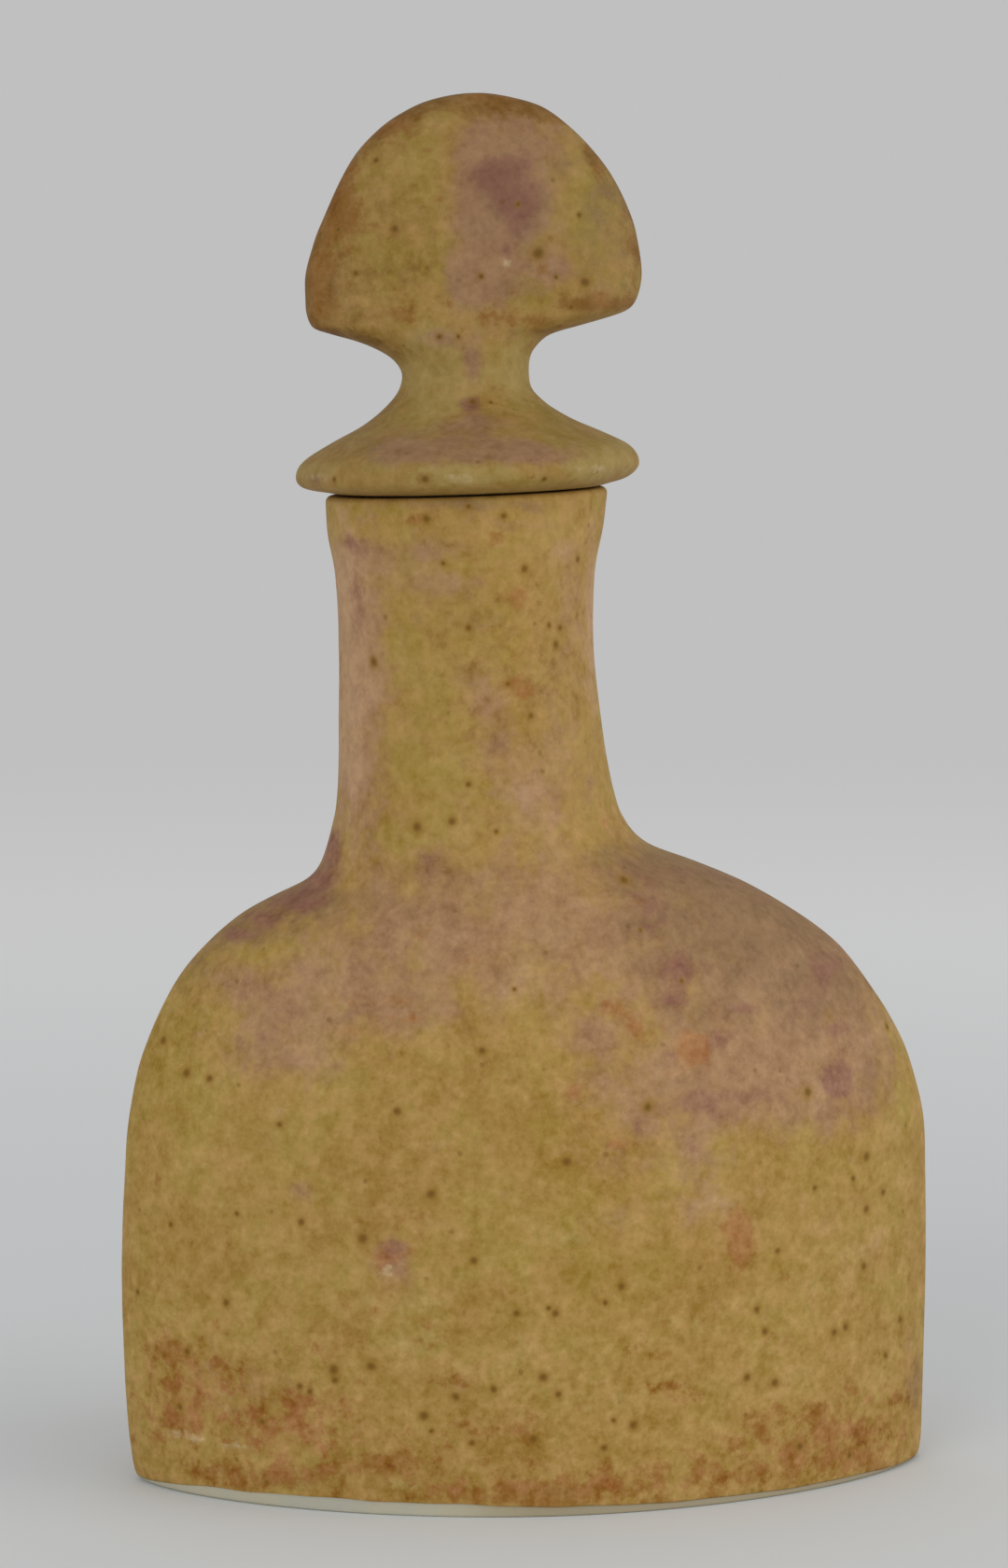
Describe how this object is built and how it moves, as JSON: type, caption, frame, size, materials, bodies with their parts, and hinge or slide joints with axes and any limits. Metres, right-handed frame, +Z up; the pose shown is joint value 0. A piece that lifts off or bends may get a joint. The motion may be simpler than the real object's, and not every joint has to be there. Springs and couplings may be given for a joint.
{
  "type": "stoppered porcelain bottle",
  "caption": "Flat porcelain bottle with a lens-shaped section, a thrown neck and a loose flanged stopper with a mushroom-shaped knob.",
  "frame": {"origin": "on the table, under the middle of the body", "axes": "+Z up, the broad front faces -Y, +X to the right along the broad side"},
  "size_m": [0.117, 0.0576, 0.1972],
  "materials": {
    "glaze": "matt ochre glaze with olive, pink and rust patches",
    "bare_porcelain": "matt unglazed"
  },
  "bodies": {
    "bottle": {"base_slab": "bare_porcelain", "front_wall": "glaze", "back_wall": "glaze", "neck": "glaze"},
    "stopper": {"stopper_plug": "bare_porcelain", "stopper_flange": "glaze", "stopper_knob": "glaze"}
  },
  "joints": [
    {"name": "stopper_lift", "type": "slide", "parent": "bottle", "child": "stopper", "axis": [-0.0349, 0, 0.9994], "range_m": [0, 0.05]}
  ]
}
